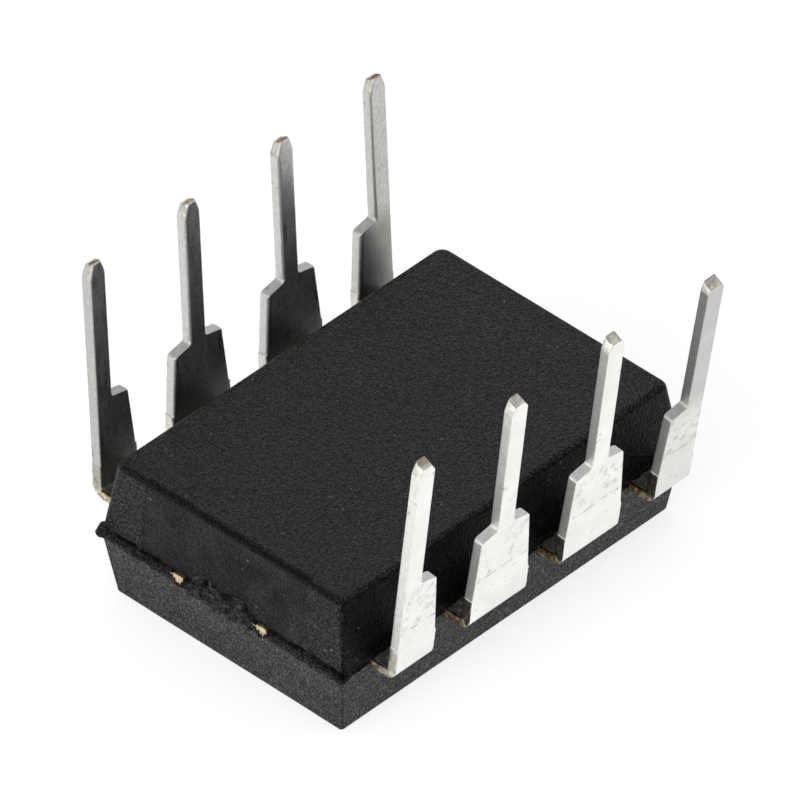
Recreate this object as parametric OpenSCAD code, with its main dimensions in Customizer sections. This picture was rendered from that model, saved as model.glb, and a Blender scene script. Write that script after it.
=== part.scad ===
// Eight-lead dual in-line package (plastic DIP-8), lying on its marked face
// with the leads pointing up.
//
// Frame: origin at the centre of the marked face, which rests on z = 0.
// +X runs along the body toward the index notch, +Y across the rows toward
// leads 5 to 8, and +Z points from the marked face to the board side.
// All sizes are millimetres.

/* [Body] */
// Length of the moulding at the parting line
body_len = 9.36; // [9.0:0.01:9.8]
// Width of the moulding at the parting line
body_wid = 6.33; // [6.1:0.01:6.6]
// Thickness of the whole moulding
body_ht = 3.15; // [3.0:0.01:3.5]
// Height of the parting line above the marked face
part_z = 1.48; // [1.4:0.01:1.6]
// How far the marked face is drafted in from the parting line at each end
draft_mark_x = 0.20; // [0.1:0.01:0.3]
// How far the marked face is drafted in from the parting line at each side
draft_mark_y = 0.22; // [0.1:0.01:0.3]
// How far the board-side face is drafted in at each end
draft_board_x = 0.21; // [0.1:0.01:0.3]
// How far the board-side face is drafted in at each side
draft_board_y = 0.19; // [0.1:0.01:0.3]
// Chamfer that stands for the small rounding of the marked face's edges
edge_low = 0.03; // [0.02:0.01:0.15]
// Chamfer that stands for the rounding of the board-side face's edges
edge_top = 0.07; // [0.04:0.01:0.15]
// Cut that stands for the rounding of the upright edges
edge_up = 0.06; // [0.03:0.01:0.2]
// How far the lower half stands out beyond the upper one at the parting line
ledge = 0.015; // [0.005:0.005:0.05]
// Radius of the half-round index notch in the marked face's end
notch_r = 0.76; // [0.4:0.02:1.0]
// Depth of the index notch, up from the marked face
notch_h = 0.60; // [0.3:0.05:0.9]
// Thickness of the flash left at the parting line
flash_t = 0.05; // [0.02:0.01:0.08]
// How far the flash stands out from the moulding
flash_w = 0.06; // [0.02:0.01:0.10]
// Width of the broken mould gate on the plain end
gate_w = 1.36; // [1.0:0.02:1.5]
// Height of the broken mould gate, above the parting line
gate_h = 0.34; // [0.2:0.02:0.4]
// How far the broken mould gate stands out
gate_out = 0.10; // [0.05:0.01:0.15]

/* [Lead frame] */
// Distance between neighbouring leads in a row
pitch = 2.54; // [2.54]
// Distance from the frame's middle line to the outer faces of leads 1 to 4
row_a = 3.81; // [3.75:0.01:3.9]
// Distance from the frame's middle line to the outer faces of leads 5 to 8
row_b = 4.09; // [3.9:0.01:4.15]
// Thickness of the lead frame sheet
sheet = 0.22; // [0.20:0.01:0.25]
// Offset of the lead frame from the middle of the body, along the body
frame_x = 0.12; // [-0.15:0.01:0.15]
// Offset of the lead frame from the middle of the body, across the rows
frame_y = 0.02; // [-0.1:0.01:0.1]

/* [Leads] */
// Width of the narrow end that goes into the board
pin_w = 0.44; // [0.40:0.01:0.50]
// Half width of a lead's shoulder at its upper end
shoulder_top = 0.65; // [0.60:0.01:0.70]
// Half width of a lead's shoulder just above the bend
shoulder_low = 0.77; // [0.71:0.01:0.80]
// Height at which the shoulder ends on leads 1 to 4
shoulder_a = 3.64; // [3.3:0.01:3.8]
// Height at which the shoulder ends on leads 5 to 8
shoulder_b = 3.55; // [3.3:0.01:3.8]
// Height of the trimmed tie between neighbouring leads
dambar_z = 2.12; // [2.0:0.01:2.3]
// Height of the tips of leads 1 to 4
tip_z = 6.90; // [6.6:0.01:7.4]
// How much lower the tips of leads 5 to 8 are
tip_drop = 0.05; // [0:0.01:0.25]
// How far each corner of a tip is cut in
tip_cut = 0.10; // [0.06:0.01:0.14]
// Length of the cut on each corner of a tip
tip_cut_len = 0.22; // [0.1:0.01:0.32]
// Outer radius of the bend beside the body
bend_r = 0.27; // [0.26:0.01:0.4]
// Outward lean of leads 1 to 8, in degrees
splay = [9.2, 7.3, 6.4, 6.7, 2.9, 2.7, 2.7, 2.8]; // [0:0.1:10]

/* [Chip inside] */
// Length of the die paddle
pad_len = 3.40; // [3.0:0.05:3.6]
// Width of the die paddle
pad_wid = 2.90; // [2.7:0.05:2.9]
// Offset of the die paddle from the plane of the leads
downset = 0.25; // [0.2:0.01:0.3]
// Distance of the two paddle tie bars from the middle line
tie_y = 1.09; // [1.0:0.01:1.12]
// Width of a paddle tie bar
tie_w = 0.25; // [0.2:0.01:0.26]
// Length of the silicon die
die_len = 1.90; // [1.4:0.05:2.0]
// Width of the silicon die
die_wid = 1.50; // [1.2:0.05:1.6]
// Thickness of the silicon die
die_t = 0.30; // [0.2:0.01:0.35]
// Thickness of the adhesive under the die
glue_t = 0.04; // [0.02:0.01:0.05]
// Diameter of a bond wire
wire_d = 0.032; // [0.03:0.001:0.04]

/* [Hidden] */

bend_in = bend_r - sheet;          // inner radius of the bend
pad_z = part_z + downset;          // middle of the paddle's sheet
glue_z = pad_z - sheet / 2;        // paddle face that carries the die
die_z = glue_z - glue_t;           // back of the die
face_z = die_z - die_t;            // bonded face of the die
land_z = part_z - sheet / 2;       // face of a lead that takes its wire

// Leads 1 to 4 are the -Y row counted from the notch, 5 to 8 come back.
function lead_dir(n) = n <= 4 ? -1 : 1;
function lead_x(n) = pitch * (n <= 4 ? 2.5 - n : n - 6.5);
function is_corner(n) = n == 1 || n == 4 || n == 5 || n == 8;
// +1 where the notch end of the lead is its wide side, seen from its middle
function wide_side(n) = lead_x(n) > 0 ? -1 : 1;

// ---------------------------------------------------------------- moulding

// Section of the moulding: half size at the parting line, the two drafts
module drafted(half, low, high) {
    a = half - low;
    b = half - high;
    polygon([
        [-a + edge_low, 0], [a - edge_low, 0], [a, edge_low],
        [half, part_z], [half - ledge, part_z],
        [b, body_ht - edge_top], [b - edge_top, body_ht],
        [-b + edge_top, body_ht], [-b, body_ht - edge_top],
        [-half + ledge, part_z], [-half, part_z], [-a, edge_low]
    ]);
}

// Outline with cut corners that stand for the rounded upright edges
module plan(lx, ly, cut) {
    x = lx / 2;
    y = ly / 2;
    polygon([
        [-x + cut, -y], [x - cut, -y], [x, -y + cut], [x, y - cut],
        [x - cut, y], [-x + cut, y], [-x, y - cut], [-x, -y + cut]
    ]);
}

module moulding() {
    difference() {
        union() {
            intersection() {
                rotate([90, 0, 0]) linear_extrude(body_wid + 2, center = true)
                    drafted(body_len / 2, draft_mark_x, draft_board_x);
                rotate([90, 0, 90]) linear_extrude(body_len + 2, center = true)
                    drafted(body_wid / 2, draft_mark_y, draft_board_y);
                linear_extrude(body_ht)
                    plan(body_len, body_wid, edge_up);
            }
            // thin flash squeezed out where the two mould halves meet
            translate([0, 0, part_z - flash_t / 2]) linear_extrude(flash_t)
                plan(body_len + 2 * flash_w, body_wid + 2 * flash_w, edge_up);
            // stub of the gate through which the mould was filled
            translate([-body_len / 2 - gate_out, -gate_w / 2, part_z - 0.08])
                cube([gate_out + 0.3, gate_w, gate_h + 0.08]);
        }
        // half-round index notch at the end beside lead 1
        translate([body_len / 2, 0, -1])
            cylinder(h = 1 + notch_h, r = notch_r, $fn = 64);
    }
}

// ------------------------------------------------------------------- leads

// Outline of the upright part. x is across the lead, y runs up the lead
// from the centre of the bend, low is the half width on the low-x side.
module leg_outline(low, high, zc, lean, shoulder, top) {
    c = cos(lean);
    // heights are those of the middle of the sheet
    drop = (bend_r - sheet / 2) * sin(lean);
    s_dam = (dambar_z - zc + drop) / c;
    s_sh = (shoulder - zc + drop) / c;
    s_tip = (top - zc + drop) / c;
    p = pin_w / 2;
    wl = low ? shoulder_low : p;
    wh = high ? shoulder_low : p;
    tl = low ? shoulder_top : p;
    th = high ? shoulder_top : p;
    r = 0.05;
    polygon(concat(
        [[-wl, 0], [wh, 0], [wh, s_dam]],
        high ? [[th, s_sh - 0.06], [th - 0.05, s_sh], [p + r, s_sh + r * 1.6],
                [p, s_sh + 0.16]] : [],
        [[p, s_tip - tip_cut_len], [p - tip_cut, s_tip],
         [-p + tip_cut, s_tip], [-p, s_tip - tip_cut_len]],
        low ? [[-p, s_sh + 0.16], [-p - r, s_sh + r * 1.6],
               [-tl + 0.05, s_sh], [-tl, s_sh - 0.06]] : [],
        [[-wl, s_dam]]
    ));
}

// Flat part inside the moulding, with the bonding finger. y runs inward
// from the bend, m is +1 or -1 toward the middle of the package.
module finger_outline(corner, m, low, high, reach) {
    p = pin_w / 2;
    wl = low ? shoulder_low : p;
    wh = high ? shoulder_low : p;
    if (corner)
        polygon([
            [-m * p, 0], [-m * p, reach - 2.55], [m * 0.06, reach - 2.25],
            [m * 1.46, reach - 1.62], [m * 1.81, reach - 1.62],
            [m * 1.81, reach - 1.97], [m * 1.06, reach - 2.42],
            [m * shoulder_low, reach - 2.70], [m * shoulder_low, 0]
        ]);
    else
        polygon([
            [-wl, 0], [-wl, reach - 2.70], [-0.25, reach - 2.45],
            [-0.25, reach - 1.72], [0.25, reach - 1.72],
            [0.25, reach - 2.45], [wh, reach - 2.70], [wh, 0]
        ]);
}

module lead(n) {
    lean = splay[n - 1];
    m = wide_side(n);
    corner = is_corner(n);
    low = !corner || m < 0;
    high = !corner || m > 0;
    p = pin_w / 2;
    wl = low ? shoulder_low : p;
    wh = high ? shoulder_low : p;
    zc = part_z + sheet / 2 + bend_in;
    uc = (n > 4 ? row_b : row_a) + ((zc - part_z) * sin(lean) - bend_r) / cos(lean);
    color([0.72, 0.72, 0.70])
    translate([frame_x, frame_y, 0])
    // the two rows are the same pattern, mirrored over the frame's middle line
    mirror([0, lead_dir(n) > 0 ? 0 : 1, 0])
    translate([lead_x(n), 0, 0]) {
        // upright part
        translate([0, uc, zc]) rotate([-lean, 0, 0])
            translate([0, bend_r, 0]) rotate([90, 0, 0])
                linear_extrude(sheet)
                    leg_outline(low, high, zc, lean,
                                n > 4 ? shoulder_b : shoulder_a,
                                tip_z - (n > 4 ? tip_drop : 0));
        // bend
        translate([-wl, uc, zc]) rotate([90, 0, 90])
            linear_extrude(wl + wh)
                intersection() {
                    difference() {
                        circle(r = bend_r, $fn = 64);
                        circle(r = bend_in, $fn = 64);
                    }
                    polygon([
                        [0, 0], [0, -2 * bend_r], [2 * bend_r, -2 * bend_r],
                        [2 * bend_r * cos(lean), -2 * bend_r * sin(lean)]
                    ]);
                }
        // part inside the moulding, with the hole that locks it there
        difference() {
            translate([0, uc, part_z - sheet / 2]) mirror([0, 1, 0])
                linear_extrude(sheet)
                    finger_outline(corner, m, low, high, uc);
            translate([corner ? m * 0.30 : 0, 2.82, part_z - 1])
                cylinder(h = 2, r = 0.16, $fn = 32);
        }
    }
}

// ------------------------------------------------------- paddle and the die

// One bar along X from the paddle's end to the moulding's end, stepped
// from the paddle's plane to that of the leads
module tie_bar(end, side) {
    x0 = pad_len / 2;
    x1 = body_len / 2 + 0.02 - end * frame_x;
    h = sheet / 2;
    translate([frame_x, frame_y + side * tie_y - tie_w / 2, 0])
        mirror([end > 0 ? 0 : 1, 0, 0])
        translate([0, tie_w, 0]) rotate([90, 0, 0]) linear_extrude(tie_w)
            polygon([
                [x0 - 0.2, pad_z - h], [x0 + 0.1, pad_z - h],
                [x0 + 0.4, part_z - h], [x1, part_z - h],
                [x1, part_z + h], [x0 + 0.4, part_z + h],
                [x0 + 0.1, pad_z + h], [x0 - 0.2, pad_z + h]
            ]);
}

module die_pad() {
    color([0.80, 0.52, 0.33]) {
        translate([frame_x - pad_len / 2, frame_y - pad_wid / 2,
                   pad_z - sheet / 2])
            cube([pad_len, pad_wid, sheet]);
        for (end = [-1, 1], side = [-1, 1]) tie_bar(end, side);
    }
}

module die_attach() {
    color([0.75, 0.75, 0.72])
        translate([frame_x - die_len / 2 - 0.05, frame_y - die_wid / 2 - 0.05,
                   die_z])
            cube([die_len + 0.1, die_wid + 0.1, glue_t]);
}

module die() {
    color([0.34, 0.36, 0.42])
        translate([frame_x - die_len / 2, frame_y - die_wid / 2, face_z])
            cube([die_len, die_wid, die_t]);
}

// -------------------------------------------------------------- bond wires

// Straight six-sided length of wire from a to b, run on by r at each end
module run(a, b, r) {
    d = b - a;
    l = norm(d);
    translate(a)
        rotate([0, acos(d[2] / l), atan2(d[1], d[0])])
            translate([0, 0, -r * 0.6])
                cylinder(h = l + r * 1.2, r = r, $fn = 6);
}

module bond_wire(n) {
    side = lead_dir(n);
    corner = is_corner(n);
    m = wide_side(n);
    r = wire_d / 2;
    // bond on the die, loop, bond on the lead's finger
    a = [lead_x(n) * (corner ? 0.19 : 0.30), side * (die_wid / 2 - 0.14),
         face_z];
    b = [lead_x(n) + (corner ? m * 1.62 : 0), side * (corner ? 1.80 : 1.90),
         land_z];
    d = b - a;
    q = [a[0] + d[0] * 0.12, a[1] + d[1] * 0.12, face_z - 0.24];
    s = [a[0] + d[0] * 0.55, a[1] + d[1] * 0.55, face_z - 0.20];
    color([0.90, 0.70, 0.28])
    translate([frame_x, frame_y, 0])
    difference() {
        union() {
            // ball bond
            translate([a[0], a[1], face_z - 0.025])
                cylinder(h = 0.025, r = r * 2.4, $fn = 12);
            run([a[0], a[1], face_z - 0.02], [a[0], a[1], face_z - 0.15], r);
            run([a[0], a[1], face_z - 0.15], q, r);
            run(q, s, r);
            run(s, b, r);
        }
        // nothing of the wire reaches into the finger it is bonded to
        translate([b[0] - 0.2, b[1] - 0.2, land_z]) cube([0.4, 0.4, 0.2]);
    }
}

// -------------------------------------------------------------------- body

module body() {
    color([0.10, 0.10, 0.11])
    difference() {
        moulding();
        for (n = [1:8]) lead(n);
        die_pad();
        die_attach();
        die();
        for (n = [1:8]) bond_wire(n);
    }
}

body();
lead(1);  // lead_1
lead(2);  // lead_2
lead(3);  // lead_3
lead(4);  // lead_4
lead(5);  // lead_5
lead(6);  // lead_6
lead(7);  // lead_7
lead(8);  // lead_8
die_pad();
die_attach();
die();
bond_wire(1);  // bond_wire_1
bond_wire(2);  // bond_wire_2
bond_wire(3);  // bond_wire_3
bond_wire(4);  // bond_wire_4
bond_wire(5);  // bond_wire_5
bond_wire(6);  // bond_wire_6
bond_wire(7);  // bond_wire_7
bond_wire(8);  // bond_wire_8
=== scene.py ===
import math

import bmesh
import bpy
import numpy as np
from mathutils import Matrix, Vector


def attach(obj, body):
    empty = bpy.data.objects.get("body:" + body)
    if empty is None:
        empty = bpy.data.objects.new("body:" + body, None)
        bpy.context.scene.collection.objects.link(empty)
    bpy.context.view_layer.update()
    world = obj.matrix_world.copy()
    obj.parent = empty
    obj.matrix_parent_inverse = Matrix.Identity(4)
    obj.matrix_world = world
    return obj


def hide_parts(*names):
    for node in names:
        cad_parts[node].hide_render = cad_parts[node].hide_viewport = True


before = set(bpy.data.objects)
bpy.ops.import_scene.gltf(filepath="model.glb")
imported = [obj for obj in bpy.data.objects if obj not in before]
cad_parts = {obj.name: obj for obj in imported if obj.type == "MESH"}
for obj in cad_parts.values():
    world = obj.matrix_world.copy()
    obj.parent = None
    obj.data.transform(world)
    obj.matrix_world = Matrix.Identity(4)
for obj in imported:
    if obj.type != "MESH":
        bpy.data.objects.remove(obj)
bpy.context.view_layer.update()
MM = 0.001

# --------------------------------------------------------------- dimensions
# millimetres, the same numbers as the CAD
L2, W2 = 4.68, 3.165            # half length and half width at the parting line
ZP, HT = 1.48, 3.15             # parting line and board-side face
LOW_X, LOW_Y = 0.20, 0.22       # draft of the marked half
TOP_X, TOP_Y = 0.21, 0.19       # draft of the board-side half
LEDGE = 0.015
SHEET = 0.22
FX, FY = 0.12, 0.02             # lead frame offset
ROW_A, ROW_B = 3.81, 4.09
SPLAY = [9.2, 7.3, 6.4, 6.7, 2.9, 2.7, 2.7, 2.8]
BEND_R = 0.27
TIP_Z = [6.78, 6.84, 6.81, 6.84, 6.80, 6.78, 6.79, 6.82]   # outer edge of the end
SHOULDER = [3.66] * 4 + [3.565] * 4                        # near the narrow part
PITCH = 2.54


# -------------------------------------------------------------------- noise
def vnoise(p, seed=0):
    """Smooth value noise from -1 to 1. p is (..., 3), one cell a unit."""
    p = np.asarray(p, float)
    i = np.floor(p).astype(np.int64)
    f = p - i
    u = f * f * f * (f * (f * 6 - 15) + 10)

    def corner(dx, dy, dz):
        n = ((i[..., 0] + dx) * 73856093) ^ ((i[..., 1] + dy) * 19349663)
        n = n ^ ((i[..., 2] + dz) * 83492791) ^ (seed * 2654435761)
        n = n & 0xFFFFFFFF
        n = ((n ^ (n >> 16)) * 0x45D9F3B) & 0xFFFFFFFF
        n = ((n ^ (n >> 16)) * 0x45D9F3B) & 0xFFFFFFFF
        n = n ^ (n >> 16)
        return (n & 0xFFFFFF) / float(0xFFFFFF) * 2 - 1

    out = 0.0
    for dx in (0, 1):
        wx = u[..., 0] if dx else 1 - u[..., 0]
        for dy in (0, 1):
            wy = u[..., 1] if dy else 1 - u[..., 1]
            for dz in (0, 1):
                wz = u[..., 2] if dz else 1 - u[..., 2]
                out = out + corner(dx, dy, dz) * wx * wy * wz
    return out


def fbm(p, seed=0, octaves=4, gain=0.5):
    p = np.asarray(p, float)
    amp, total, out = 1.0, 0.0, 0.0
    for k in range(octaves):
        out = out + vnoise(p * 2.03 ** k, seed + 17 * k) * amp
        total += amp
        amp *= gain
    return out / total


def sstep(a, b, x):
    t = np.clip((x - a) / (b - a), 0, 1)
    return t * t * (3 - 2 * t)


def bump1(x, c, w):
    """1 at c, falling smoothly to 0 at c +- w"""
    return np.clip(1 - ((x - c) / w) ** 2, 0, 1) ** 2


# --------------------------------------------------------------------- mesh
def make_object(name, verts_mm, faces, attrs=None, smooth=True):
    me = bpy.data.meshes.new(name)
    me.from_pydata((np.asarray(verts_mm, float) * MM).tolist(), [], faces)
    me.validate()
    if smooth:
        me.shade_smooth()
    for key, val in (attrs or {}).items():
        a = me.attributes.new(key, "FLOAT", "POINT")
        a.data.foreach_set("value", np.asarray(val, np.float32))
    me.update()
    ob = bpy.data.objects.new(name, me)
    bpy.context.scene.collection.objects.link(ob)
    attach(ob, "root")
    return ob


# --------------------------------------------------------------------- body
def half_len(z):
    z = np.asarray(z, float)
    low = L2 - LOW_X * (ZP - z) / ZP
    top = L2 - LEDGE - (TOP_X - LEDGE) * (z - ZP) / (HT - ZP)
    return np.where(z <= ZP, low, top)


def half_wid(z):
    z = np.asarray(z, float)
    low = W2 - LOW_Y * (ZP - z) / ZP
    top = W2 - LEDGE - (TOP_Y - LEDGE) * (z - ZP) / (HT - ZP)
    return np.where(z <= ZP, low, top)


def build_body():
    # perimeter, counterclockwise from the -Y end of the notch end
    def side(n, extra=()):
        t = np.linspace(-1, 1, n)
        return np.unique(np.concatenate([t, np.asarray(extra, float)]))

    nr = 0.76
    east = side(56, [s * (nr + d) / 2.9 for s in (-1, 1)
                     for d in (-0.06, -0.03, -0.012, 0.0, 0.012, 0.03)])
    north = side(120)
    west = side(300)
    south = side(210)
    arc = np.linspace(0, 1, 14)[1:-1]
    seg = []                                   # (side, parameter)
    for k, ts in enumerate((east, arc, north, arc, west, arc, south, arc)):
        seg += [(k, t) for t in ts]
    kind = np.array([q[0] for q in seg])
    par = np.array([q[1] for q in seg], float)
    npts = len(seg)

    def ring(a, b, r):
        x = np.zeros(npts); y = np.zeros(npts)
        nx = np.zeros(npts); ny = np.zeros(npts)
        m = kind == 0
        x[m], y[m], nx[m], ny[m] = a, par[m] * (b - r), 1, 0
        m = kind == 2
        x[m], y[m], nx[m], ny[m] = -par[m] * (a - r), b, 0, 1
        m = kind == 4
        x[m], y[m], nx[m], ny[m] = -a, -par[m] * (b - r), -1, 0
        m = kind == 6
        x[m], y[m], nx[m], ny[m] = par[m] * (a - r), -b, 0, -1
        for k, cx, cy, a0 in ((1, 1, 1, 0), (3, -1, 1, 90), (5, -1, -1, 180),
                              (7, 1, -1, 270)):
            m = kind == k
            th = np.radians(a0 + 90 * par[m])
            x[m] = cx * (a - r) + r * np.cos(th)
            y[m] = cy * (b - r) + r * np.sin(th)
            nx[m], ny[m] = np.cos(th), np.sin(th)
        return x, y, nx, ny

    # rings: height, inset from the drafted face, corner radius
    rings = []
    rb = 0.032
    for f in np.linspace(6, 90, 7):
        f = math.radians(f)
        rings.append((rb * (1 - math.cos(f)), rb * (1 - math.sin(f)), 0.060))
    for z in (0.07, 0.14):
        rings.append((z, 0, 0.058))
    for z in (0.24, 0.36, 0.48, 0.57, 0.590, 0.598, 0.602, 0.612, 0.64):
        rings.append((z, 0, 0.055))
    for z in np.linspace(0.64, ZP - 0.22, 8)[1:]:
        rings.append((z, 0, 0.050))
    for z in np.linspace(ZP - 0.22, ZP + 0.47, 54)[1:]:
        rings.append((z, 0, 0.050 if z < ZP else 0.050 + 0.085 * (z - ZP)))
    for z in np.linspace(ZP + 0.50, HT - 0.13, 12):
        rings.append((z, 0, 0.050 + 0.085 * (z - ZP)))
    rt = 0.105
    for f in np.linspace(90, 4, 12):
        f = math.radians(f)
        rings.append((HT - rt * (1 - math.cos(f)), rt * (1 - math.sin(f)),
                      0.190 + 0.07 * (1 - math.sin(f))))
    V, N = [], []
    for z, ins, r in rings:
        a = float(half_len(z)) - ins
        b = float(half_wid(z)) - ins
        x, y, nx, ny = ring(a, b, r)
        V.append(np.stack([x, y, np.full_like(x, z)], -1))
        N.append(np.stack([nx, ny, np.zeros_like(x)], -1))
    V = np.array(V); N = np.array(N)
    Z = V[..., 2].copy(); X = V[..., 0].copy(); Y = V[..., 1].copy()
    P = V.copy()
    zz = Z - ZP
    n_r, n_p = Z.shape
    KIND = np.broadcast_to(kind, Z.shape)
    end_m = np.isin(KIND, (0, 1, 3, 4, 5, 7)).astype(float)
    side_m = 1 - end_m
    west_f = (KIND == 4).astype(float)
    # softer hand-over of the end band round the corners
    for k in (1, 3, 5, 7):
        m = KIND == k
        end_m[m] = np.clip(np.abs(N[..., 0][m]) * 1.4, 0, 1)
    along = np.stack([X * 5.0, Y * 5.0, np.zeros_like(Z)], -1)
    wander = fbm(along, 3, 4, 0.6)
    teeth = fbm(along * 5.0, 4, 3, 0.6)
    torn = fbm(P * [15, 15, 20], 5, 4, 0.6)
    fine = fbm(P * [40, 40, 40], 8, 2)

    disp = np.zeros_like(Z)          # outward, mm

    # ends: torn web as thick as the lead frame between the two halves
    lo = -0.135 + 0.030 * wander + 0.022 * teeth
    hi = 0.115 + 0.022 * fbm(along * 1.3, 6, 3)
    band = (sstep(lo - 0.010, lo + 0.014, zz) * sstep(hi + 0.016, hi - 0.014, zz)
            * end_m)
    # the web leans out at its lower lip and is drawn in at its upper one
    lean = np.interp(zz, [-0.16, -0.09, -0.02, 0.05, 0.11, 0.15],
                     [0.030, 0.042, 0.030, -0.012, -0.034, -0.03])
    disp += band * (lean + 0.030 * torn + 0.012 * fine)
    gro = np.exp(-((zz - hi - 0.012) / 0.024) ** 2) * end_m
    disp -= gro * 0.030
    # a smear of smoother resin over the web near the +Y corner
    smear = (np.exp(-((Y - 2.10) / 0.42) ** 2 - ((zz + 0.05 + (Y - 2.1) * 0.16)
                                                / 0.045) ** 2) * west_f)
    disp += 0.045 * smear
    # sides: a thin ragged flash line
    line = np.exp(-((zz - 0.004) / 0.020) ** 2) * side_m
    disp += line * (0.014 + 0.020 * torn + 0.05 * np.clip(
        fbm(along * 1.4, 21, 3) - 0.18, 0, 1))
    # resin that crept along each lead where it comes out
    for n in range(1, 9):
        xc = FX + lead_x(n)
        m = -1 if lead_x(n) > 0 else 1
        cor = n in (1, 4, 5, 8)
        x0 = xc - (0.78 if (not cor or m < 0) else 0.24)
        x1 = xc + (0.78 if (not cor or m > 0) else 0.24)
        sm = (KIND == (6 if n <= 4 else 2)).astype(float)
        inx = sstep(x0 - 0.06, x0 + 0.02, X) * sstep(x1 + 0.06, x1 - 0.02, X)
        edge_n = fbm(np.stack([X * 8, Y * 0 + n, Z * 8], -1), 80 + n, 3)
        coat = np.exp(-((zz - 0.13) / 0.055) ** 2)
        disp += sm * inx * coat * (0.060 + 0.045 * edge_n)
        under = np.exp(-((zz + 0.14) / 0.04) ** 2)
        disp += sm * inx * under * (0.018 + 0.02 * edge_n)

    # blobs of flash on the corners
    def blob(cx, cy, cz, w, h, amt, seed):
        d2 = ((X - cx) ** 2 + (Y - cy) ** 2) / w ** 2 + ((Z - cz) / h) ** 2
        n = 1 + 0.30 * fbm(P * 13, seed, 3) + 0.10 * fbm(P * 40, seed + 1, 2)
        return amt * np.clip(1 - d2, 0, 1) ** 0.75 * n
    disp += blob(-L2 + 0.055, W2 - 0.055, ZP + 0.045, 0.200, 0.150, 0.118, 31)
    disp += blob(-L2 + 0.045, -W2 + 0.05, ZP + 0.02, 0.22, 0.11, 0.055, 32)
    disp += blob(L2 - 0.05, W2 - 0.05, ZP + 0.03, 0.18, 0.09, 0.030, 33)

    # broken gate on the plain end
    edge_n = fbm(np.stack([Y * 5.5, zz * 6, np.zeros_like(Z)], -1), 41, 3)
    g_top = np.interp(Y, [-0.78, -0.70, -0.56, -0.43, -0.2, 0.04, 0.25, 0.43, 0.62,
                          0.75, 0.85],
                      [0.05, 0.16, 0.34, 0.37, 0.31, 0.25, 0.32, 0.37, 0.35,
                       0.28, 0.08]) + 0.035 * edge_n + 0.035 * teeth
    g_bot = np.interp(Y, [-0.75, -0.48, 0.04, 0.55, 0.86],
                      [-0.15, -0.17, -0.235, -0.22, -0.13]) + 0.03 * teeth
    gate = (sstep(-0.80, -0.72, Y + 0.03 * edge_n) * sstep(0.88, 0.80, Y + 0.04 * edge_n)
            * sstep(g_bot - 0.012, g_bot + 0.018, zz)
            * sstep(g_top + 0.014, g_top - 0.020, zz)) * west_f
    q = np.stack([Y * 7.5, zz * 8.0, np.zeros_like(Z)], -1)
    rough = fbm(q, 43, 5, 0.62)
    facet = 1 - np.abs(fbm(q * 1.5, 47, 3)) * 2.4
    cav = np.zeros_like(Z)
    for cy, cz, w, h, amt in ((0.486, 0.215, 0.11, 0.10, 0.10),
                              (-0.10, 0.245, 0.26, 0.060, 0.11),
                              (-0.56, 0.205, 0.085, 0.12, 0.10),
                              (0.16, 0.06, 0.07, 0.05, 0.04),
                              (-0.66, 0.0, 0.10, 0.06, 0.05)):
        cav += amt * np.exp(-((Y - cy) / w) ** 2 - ((zz - cz) / h) ** 2)
    swell = np.interp(zz, [-0.25, -0.12, 0.0, 0.12, 0.25, 0.4],
                      [0.045, 0.075, 0.070, 0.035, 0.0, -0.02])
    disp = disp * (1 - gate) + gate * (swell + 0.085 * rough + 0.018 * facet - cav)
    rim = np.exp(-(((zz - g_top - 0.004) / 0.016) ** 2)) * west_f * (
        sstep(-0.78, -0.70, Y) * sstep(0.86, 0.78, Y))
    disp -= rim * (0.020 + 0.02 * edge_n)

    # the two tie bars come out of the web, half smothered by resin
    for cy, t_y, t_z in ((FY + 1.09, 0.088, 0.076), (FY - 1.09, 0.068, 0.080)):
        for kk in (0, 4):
            wf = (KIND == kk).astype(float)
            dy = (Y - cy) / t_y
            dzn = (zz + 0.010 + 0.10 * (Y - cy)) / t_z
            rr = np.maximum(np.abs(dy), np.abs(dzn)) + 0.34 * fbm(
                np.stack([Y * 9, zz * 9, X], -1), 55 + kk, 3)
            inside = sstep(0.98, 0.80, rr) * wf
            collar = np.exp(-((rr - 1.16) / 0.22) ** 2) * wf
            disp = disp * (1 - inside) - 0.030 * inside
            disp += 0.040 * collar

    # shallow recess that the gate insert leaves in the board-side half
    patch = (sstep(-2.14, -2.05, Y) * sstep(2.19, 2.08, Y + 0.02 * wander)
             * sstep(hi + 0.02, hi + 0.06, zz)) * west_f
    disp -= 0.007 * patch * (1 - gate)

    # nicks and faint waviness
    disp += 0.0035 * fbm(P * 1.1, 61, 2)
    for cy, cz, w, h, amt in ((1.17, ZP + 0.765, 0.11, 0.015, -0.020),
                              (1.15, ZP + 0.735, 0.09, 0.016, 0.012),
                              (-2.35, ZP + 0.9, 0.05, 0.02, -0.01)):
        disp += west_f * amt * np.exp(
            -((Y - cy) / w) ** 2 - ((Z - cz) / h) ** 2)

    # index notch at the far end of the marked face
    notch = np.sqrt(np.clip(nr ** 2 - Y ** 2, 0, None)) * (KIND == 0) * (Z < 0.60)

    V = V + N * (disp[..., None])
    V[..., 2] += 0.010 * wander * np.exp(-(zz / 0.10) ** 2) * side_m
    V[..., 0] -= notch
    # the web stays within the flash that the moulding really has
    V[..., 0] = np.clip(V[..., 0], -L2 - 0.135, L2 + 0.055)
    V[..., 2] = np.clip(V[..., 2], 0.0006, None)

    verts = V.reshape(-1, 3)
    idx = np.arange(n_r * n_p).reshape(n_r, n_p)
    a = idx[:-1]; b = np.roll(idx, -1, 1)[:-1]
    c = np.roll(idx, -1, 1)[1:]; d = idx[1:]
    faces = np.stack([a, b, c, d], -1).reshape(-1, 4).tolist()
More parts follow.
